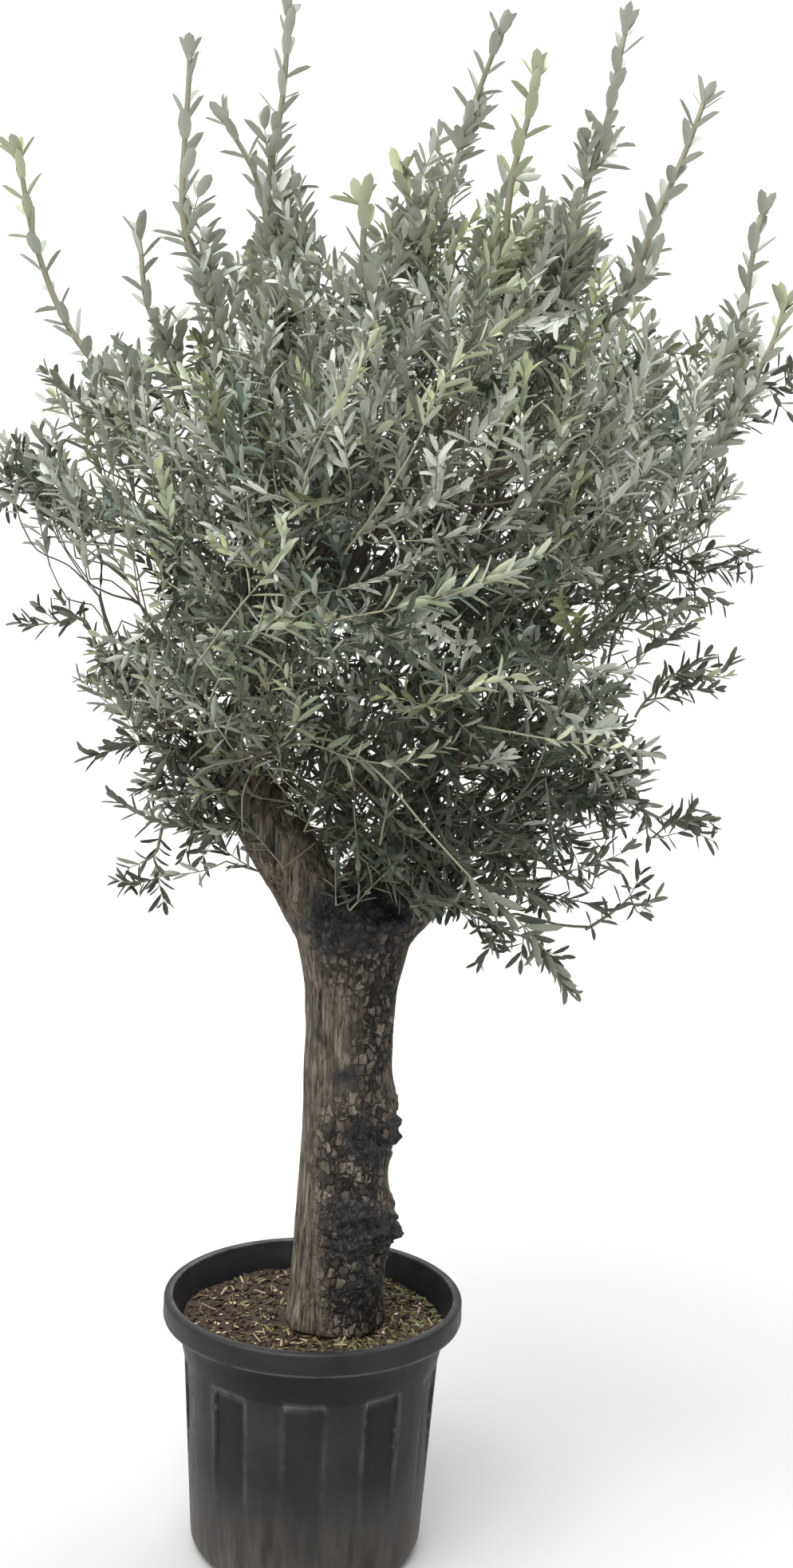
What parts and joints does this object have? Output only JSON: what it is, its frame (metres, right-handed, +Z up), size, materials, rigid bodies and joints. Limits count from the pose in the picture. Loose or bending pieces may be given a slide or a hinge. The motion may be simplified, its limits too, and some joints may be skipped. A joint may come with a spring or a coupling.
{
  "type": "potted olive tree",
  "caption": "Olive tree trained as a standard: stout rough trunk, spreading boughs and a loose leafy crown, in a round black nursery pot.",
  "frame": {"origin": "middle of the pot's flat underside", "axes": "+X to the tree's right seen from the front, +Y to its back, +Z up"},
  "size_m": [1.2777, 1.1074, 2.5215],
  "materials": {
    "pot": "moulded black plastic, satin, scuffed and dusty near the foot",
    "soil": "moist brown potting soil with straw-coloured chips",
    "bark": "rough grey-brown bark with dark cracked patches",
    "foliage": "leathery leaves, dark grey-green above and silvery below",
    "shoots": "grey-green leafy shoots",
    "young_foliage": "pale yellow-green young leaves"
  },
  "bodies": {
    "root": {"pot": "pot", "soil": "soil", "trunk": "bark", "crown_skirt_right": "foliage", "crown_skirt_front": "foliage", "crown_skirt_back": "foliage", "crown_skirt_left": "foliage", "crown_middle_left": "foliage", "crown_middle_front": "foliage", "crown_middle_front_right": "foliage", "crown_middle_back_right": "foliage", "crown_middle_back": "foliage", "crown_upper_left": "foliage", "crown_upper_front": "foliage", "crown_upper_front_right": "foliage", "crown_upper_back_right": "foliage", "crown_upper_back": "foliage", "crown_top_left": "foliage", "crown_top_right": "foliage", "crown_top_back": "foliage", "bough_left": "bark", "bough_right": "bark", "bough_middle": "bark", "shoot_far_left": "shoots", "shoot_left_low": "shoots", "shoot_left": "shoots", "shoot_left_inner": "shoots", "shoot_tallest": "shoots", "shoot_front": "shoots", "shoot_middle": "shoots", "shoot_right_inner": "shoots", "shoot_pale": "young_foliage", "shoot_right": "shoots", "shoot_right_outer": "shoots", "shoot_far_right": "shoots", "shoot_right_low": "shoots", "shoot_back_left": "shoots", "shoot_back_right": "shoots", "spray_left_high": "shoots", "spray_left_mid": "shoots", "spray_left_low": "shoots", "spray_left_hanging": "shoots", "spray_right_high": "shoots", "spray_right_upper": "shoots", "spray_right_mid": "shoots", "spray_right_low": "shoots", "spray_right_hanging": "shoots", "spray_hanging_low": "shoots", "spray_front": "shoots", "spray_back": "shoots"}
  },
  "joints": []
}
